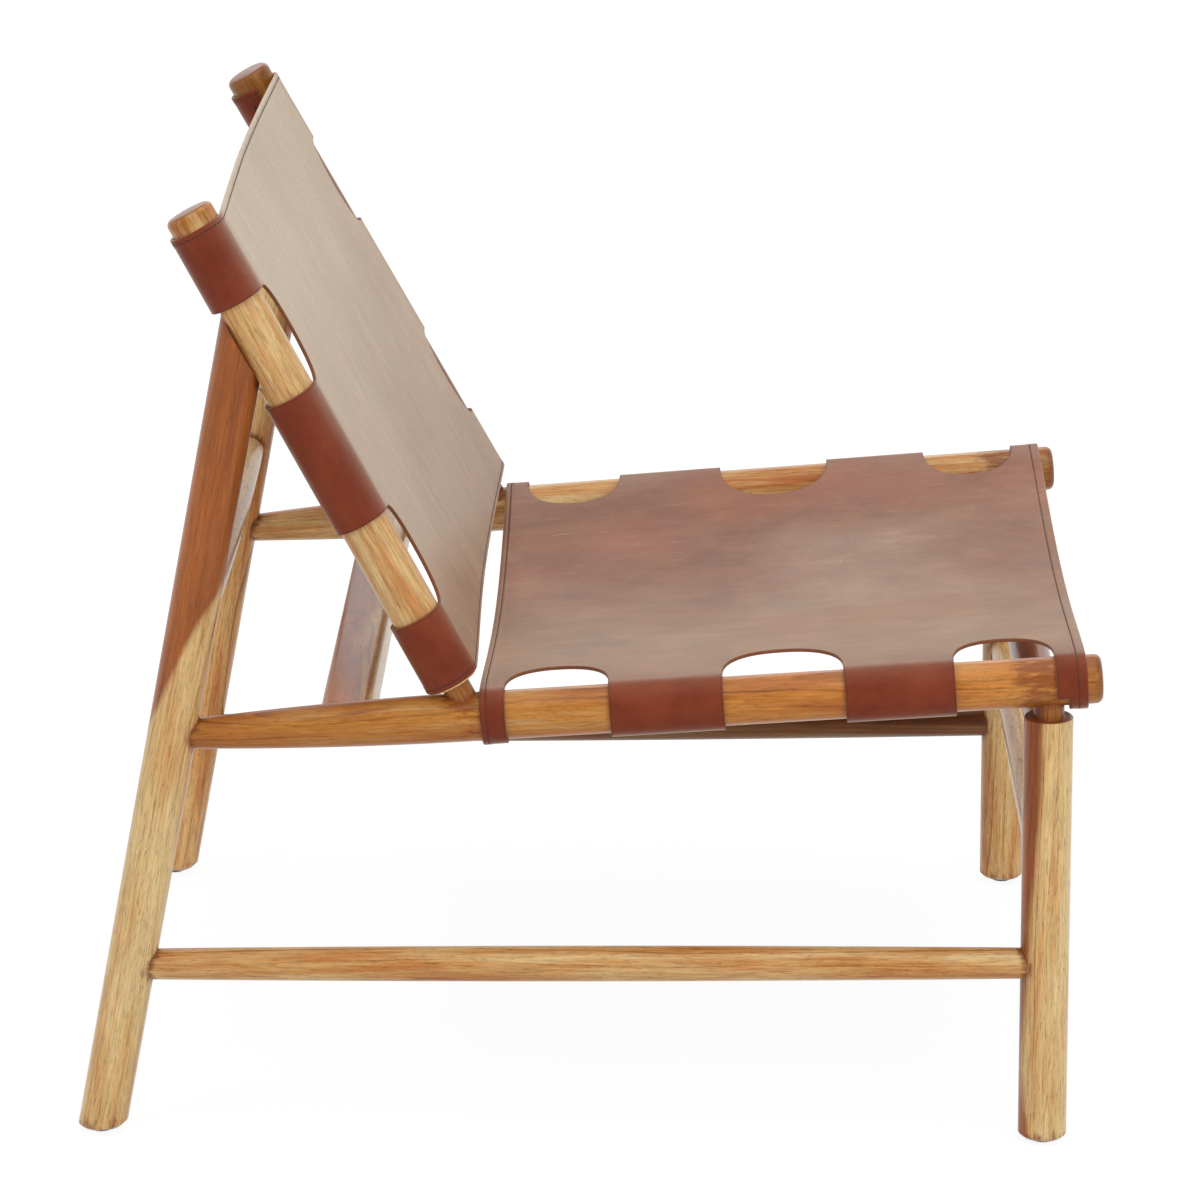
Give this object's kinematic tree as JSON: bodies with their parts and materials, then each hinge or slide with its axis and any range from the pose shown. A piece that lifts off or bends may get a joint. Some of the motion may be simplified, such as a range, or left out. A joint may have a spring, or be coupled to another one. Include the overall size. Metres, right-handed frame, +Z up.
{
  "type": "leather sling chair",
  "caption": "Low lounge chair with a turned wooden frame and a leather seat and back slung between round rails, with cut-outs beside the rails.",
  "frame": {"origin": "on the floor, in the middle of the chair's outline seen from above", "axes": "+X the way a sitter faces, +Y to the sitter's left, +Z up; the front and rear feet stand on z = 0"},
  "size_m": [0.7966, 0.6164, 0.744],
  "materials": {
    "wood": "honey brown teak, turned, satin lacquer",
    "leather": "smooth reddish brown saddle leather, satin",
    "rubber": "matt dark brown"
  },
  "bodies": {
    "root": {"back_cross_rail": "wood", "back_post_left": "wood", "back_post_right": "wood", "back_sling": "leather", "foot_glide_front_left": "rubber", "foot_glide_front_right": "rubber", "foot_glide_rear_left": "rubber", "foot_glide_rear_right": "rubber", "front_cross_rail": "wood", "front_leg_left": "wood", "front_leg_right": "wood", "front_stretcher": "wood", "joint_dowel_left": "wood", "joint_dowel_right": "wood", "rear_cross_rail": "wood", "rear_leg_left": "wood", "rear_leg_right": "wood", "seat_rail_left": "wood", "seat_rail_right": "wood", "seat_sling": "leather", "side_stretcher_left": "wood", "side_stretcher_right": "wood"}
  },
  "joints": []
}
